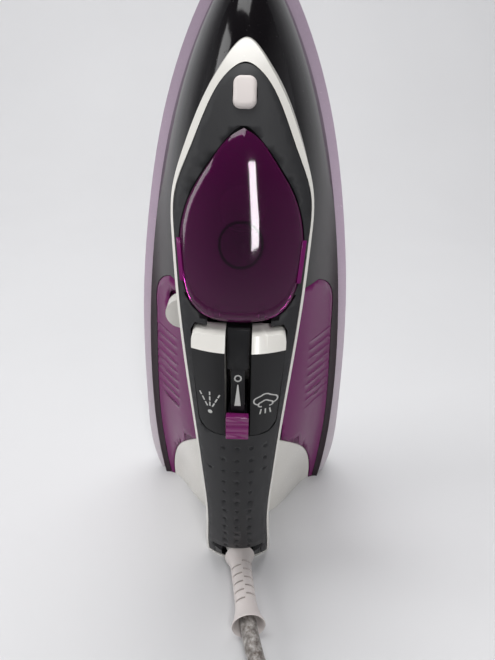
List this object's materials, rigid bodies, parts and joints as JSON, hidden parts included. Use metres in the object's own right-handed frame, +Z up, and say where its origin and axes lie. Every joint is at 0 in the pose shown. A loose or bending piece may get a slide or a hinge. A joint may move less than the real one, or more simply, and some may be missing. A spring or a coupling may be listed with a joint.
{
  "type": "steam iron",
  "caption": "Household steam iron standing on its heel, with filler lid, spray and steam buttons, steam slider, hidden temperature dial and swivelling braided mains lead.",
  "frame": {"origin": "centre of the heel's resting face, on the floor", "axes": "+Z up towards the nose, -Y towards the handle and its buttons, +X to the right when facing the handle"},
  "size_m": [0.1274, 0.2859, 0.2969],
  "materials": {
    "sole_steel": "polished steel sole",
    "cast_alloy": "as cast",
    "element_steel": "plain steel",
    "skirt_pearl": "pearly gloss",
    "heat_plastic": "phenolic",
    "hood_black": "piano gloss",
    "tank_purple": "tinted clear plastic",
    "heel_white": "warm white gloss",
    "grip_dark": "soft touch",
    "control_dark": "satin black",
    "inner_plastic": "natural nylon",
    "rubber_grey": "silicone",
    "brass": "turned",
    "cord_braid": "braided textile",
    "plug_black": "moulded"
  },
  "bodies": {
    "iron": {"chamber_cover": "cast_alloy", "control_deck": "control_dark", "element_wire_left": "rubber_grey", "element_wire_right": "rubber_grey", "filler_neck": "inner_plastic", "filler_tray": "grip_dark", "handle_cover": "grip_dark", "handle_shell": "heel_white", "heat_shield": "heat_plastic", "heating_element": "element_steel", "heel_cover": "heel_white", "hood": "hood_black", "inner_lead": "rubber_grey", "lid_pin": "element_steel", "needle_gland": "inner_plastic", "needle_spring": "element_steel", "self_clean_spring": "element_steel", "skirt": "skirt_pearl", "sole_screws": "element_steel", "sole_skin": "sole_steel", "soleplate": "cast_alloy", "spray_hose": "rubber_grey", "spray_nozzle": "heel_white", "spray_pump": "inner_plastic", "spray_spring": "element_steel", "spray_suction_tube": "rubber_grey", "steam_pump": "inner_plastic", "steam_spring": "element_steel", "steam_suction_tube": "rubber_grey", "steam_tube": "rubber_grey", "swivel_socket": "control_dark", "tank_window_left": "tank_purple", "tank_window_right": "tank_purple", "terminal_block": "heat_plastic", "thermal_fuse": "heat_plastic", "thermostat": "element_steel", "valve_seat": "brass", "water_tank": "tank_purple"},
    "lid": {"filler_lid": "tank_purple", "lid_stopper": "rubber_grey"},
    "spray_push": {"spray_button": "heel_white", "spray_button_cap": "control_dark", "spray_piston": "inner_plastic"},
    "steam_push": {"steam_button": "heel_white", "steam_button_cap": "control_dark", "steam_piston": "inner_plastic"},
    "slider": {"steam_slider": "tank_purple", "slider_link": "inner_plastic"},
    "needle": {"steam_needle": "element_steel"},
    "clean_push": {"self_clean_button": "heel_white", "self_clean_rod": "inner_plastic"},
    "dial": {"temperature_dial": "control_dark", "dial_shaft": "inner_plastic"},
    "cord_swing": {"swivel_ball": "inner_plastic", "cord_guard": "heel_white", "cord": "cord_braid", "cord_coil": "cord_braid", "cord_tie": "plug_black", "plug_body": "plug_black", "plug_pins": "brass"}
  },
  "joints": [
    {"name": "lid_hinge", "type": "hinge", "parent": "iron", "child": "lid", "pos_m": [0, -0.08033, 0.16301], "axis": [1, 0, 0], "range_deg": [0, 65]},
    {"name": "spray_press", "type": "slide", "parent": "iron", "child": "spray_push", "axis": [0, 0.9962, 0.0872], "range_m": [0, 0.004], "stiffness_N_per_m": 500, "springref_m": -0.003, "deforming": ["spray_spring"]},
    {"name": "steam_press", "type": "slide", "parent": "iron", "child": "steam_push", "axis": [0, 0.9962, 0.0872], "range_m": [0, 0.004], "stiffness_N_per_m": 500, "springref_m": -0.003, "deforming": ["steam_spring"]},
    {"name": "steam_slide", "type": "slide", "parent": "iron", "child": "slider", "axis": [0, -0.0872, 0.9962], "range_m": [0, 0.0186]},
    {"name": "needle_lift", "type": "slide", "parent": "iron", "child": "needle", "axis": [0, -0.9962, -0.0872], "range_m": [-0.002, 0], "deforming": ["needle_spring"]},
    {"name": "self_clean_press", "type": "slide", "parent": "iron", "child": "clean_push", "axis": [0, 0.9962, 0.0872], "range_m": [0, 0.003], "stiffness_N_per_m": 500, "springref_m": -0.003, "deforming": ["self_clean_spring"]},
    {"name": "dial_turn", "type": "hinge", "parent": "iron", "child": "dial", "pos_m": [0, -0.02249, 0.09439], "axis": [0, -0.9962, -0.0872], "range_deg": [0, 270]},
    {"name": "cord_swing", "type": "hinge", "parent": "iron", "child": "cord_swing", "pos_m": [0, -0.042, 0.0097], "axis": [0, 0, 1], "range_deg": [-27.6, 12.4]}
  ],
  "couplings": [
    {"joint": "needle_lift", "follows": "steam_slide", "ratio": -0.1075}
  ]
}
